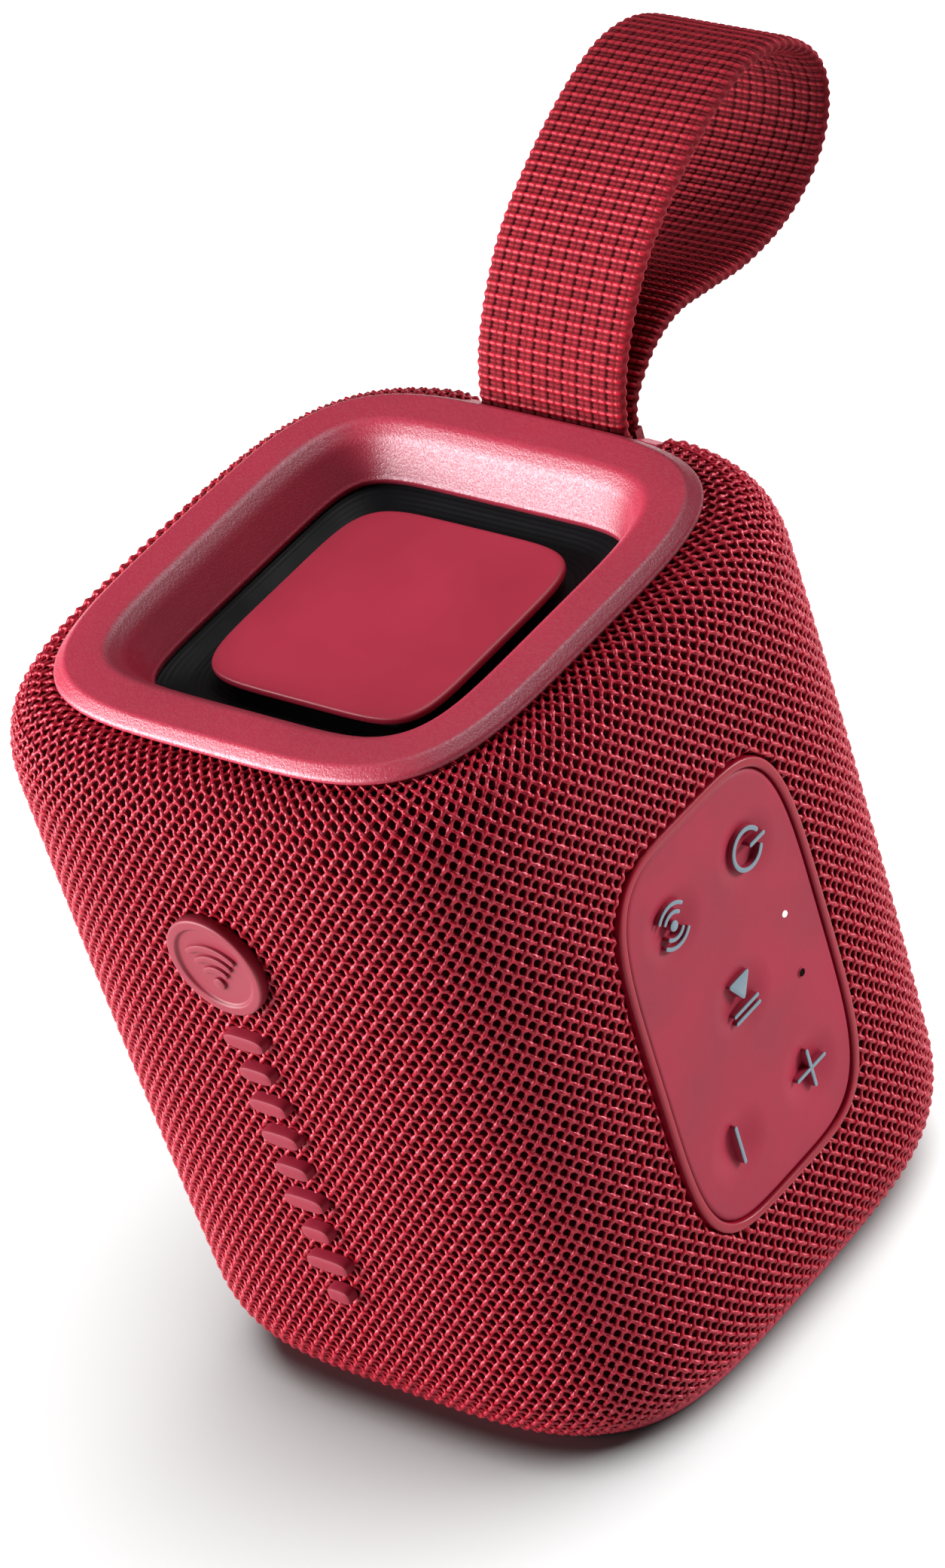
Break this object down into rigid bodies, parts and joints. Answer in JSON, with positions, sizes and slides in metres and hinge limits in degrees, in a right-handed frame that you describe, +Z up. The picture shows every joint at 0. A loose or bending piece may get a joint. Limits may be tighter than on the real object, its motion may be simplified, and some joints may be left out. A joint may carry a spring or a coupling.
{
  "type": "portable speaker",
  "caption": "Compact fabric-wrapped portable loudspeaker with a recessed sprung radiator plate at one end, a side keypad and a webbing carry loop.",
  "frame": {"origin": "centre of the base pad's flat underside, on the surface the speaker stands on", "axes": "+Z up the body to the radiator end, -Y out of the front with the badge, +X out of the keypad, the carry loop leans back over +Y"},
  "size_m": [0.0877, 0.1375, 0.1425],
  "materials": {
    "fabric": "open knitted speaker cloth, crimson",
    "satin_plastic": "fine satin crimson plastic",
    "lip_plastic": "smooth dark crimson rim",
    "soft_rubber": "soft-touch dusty crimson rubber",
    "key_rubber": "soft-touch crimson rubber with raised slate-blue marks",
    "black_rubber": "black rubber with a low sheen",
    "webbing": "woven nylon webbing, crimson",
    "black_plastic": "black moulded plastic",
    "steel": "plain pressed steel",
    "screw_steel": "zinc-plated screw steel",
    "magnet_metal": "nickel-plated magnet",
    "cone_paper": "black paper cone",
    "coil_copper": "copper winding",
    "foam": "black foam and treated cloth",
    "circuit_board": "green circuit board",
    "light_lens": "white translucent light pipe",
    "cell_skin": "shrink-wrapped lithium cell"
  },
  "bodies": {
    "speaker_body": {"fabric_sleeve": "fabric", "enclosure_shell": "black_plastic", "top_ring": "satin_plastic", "radiator_frame": "black_plastic", "ring_screw_1": "screw_steel", "ring_screw_2": "screw_steel", "ring_screw_3": "screw_steel", "ring_screw_4": "screw_steel", "radiator_surround": "black_rubber", "bottom_cap": "satin_plastic", "base_pad": "black_rubber", "keypad_frame": "lip_plastic", "keypad_panel": "soft_rubber", "switch_power": "black_plastic", "switch_pair": "black_plastic", "switch_play": "black_plastic", "switch_plus": "black_plastic", "switch_minus": "black_plastic", "key_board": "circuit_board", "light_pipe": "light_lens", "microphone": "steel", "front_badge": "soft_rubber", "level_marks": "soft_rubber", "strap_tail": "webbing", "strap_bar": "steel", "strap_housing": "satin_plastic", "usb_socket": "steel", "side_foot_pad": "black_rubber", "main_board": "circuit_board", "battery_cell": "cell_skin", "battery_holder": "black_plastic", "driver_gasket": "foam", "driver_basket": "steel", "driver_surround": "black_rubber", "driver_spider": "foam", "magnet_cup": "steel", "driver_magnet": "magnet_metal", "driver_screw_1": "screw_steel", "driver_screw_2": "screw_steel", "driver_screw_3": "screw_steel", "driver_screw_4": "screw_steel"},
    "key_power_cap": {"key_power": "key_rubber"},
    "key_pair_cap": {"key_pair": "key_rubber"},
    "key_play_cap": {"key_play": "key_rubber"},
    "key_plus_cap": {"key_plus": "key_rubber"},
    "key_minus_cap": {"key_minus": "key_rubber"},
    "radiator": {"radiator_plate": "satin_plastic", "radiator_weight": "steel"},
    "cone": {"driver_cone": "cone_paper", "dust_cap": "cone_paper", "voice_coil": "coil_copper"},
    "port_flap": {"port_cover": "soft_rubber"},
    "strap": {"strap_loop": "webbing"}
  },
  "joints": [
    {"name": "key_power_press", "type": "slide", "parent": "speaker_body", "child": "key_power_cap", "axis": [-1, 0, 0], "range_m": [0, 0.0005], "stiffness_N_per_m": 400},
    {"name": "key_pair_press", "type": "slide", "parent": "speaker_body", "child": "key_pair_cap", "axis": [-1, 0, 0], "range_m": [0, 0.0005], "stiffness_N_per_m": 400},
    {"name": "key_play_press", "type": "slide", "parent": "speaker_body", "child": "key_play_cap", "axis": [-1, 0, 0], "range_m": [0, 0.0005], "stiffness_N_per_m": 400},
    {"name": "key_plus_press", "type": "slide", "parent": "speaker_body", "child": "key_plus_cap", "axis": [-1, 0, 0], "range_m": [0, 0.0005], "stiffness_N_per_m": 400},
    {"name": "key_minus_press", "type": "slide", "parent": "speaker_body", "child": "key_minus_cap", "axis": [-1, 0, 0], "range_m": [0, 0.0005], "stiffness_N_per_m": 400},
    {"name": "radiator_travel", "type": "slide", "parent": "speaker_body", "child": "radiator", "axis": [0, 0, 1], "range_m": [-0.002, 0.0015], "stiffness_N_per_m": 3300, "springref_m": 0.00005, "deforming": ["radiator_surround"]},
    {"name": "cone_travel", "type": "slide", "parent": "speaker_body", "child": "cone", "axis": [0, -1, 0], "range_m": [-0.0015, 0.0015], "stiffness_N_per_m": 1500},
    {"name": "port_flap_hinge", "type": "hinge", "parent": "speaker_body", "child": "port_flap", "pos_m": [0, 0.04389, 0.022], "axis": [-1, 0, 0], "range_deg": [0, 110]},
    {"name": "strap_swing", "type": "hinge", "parent": "speaker_body", "child": "strap", "pos_m": [0, 0.0386, 0.1109], "axis": [1, 0, 0], "range_deg": [-35, 28], "stiffness_Nm_per_rad": 0.12}
  ]
}
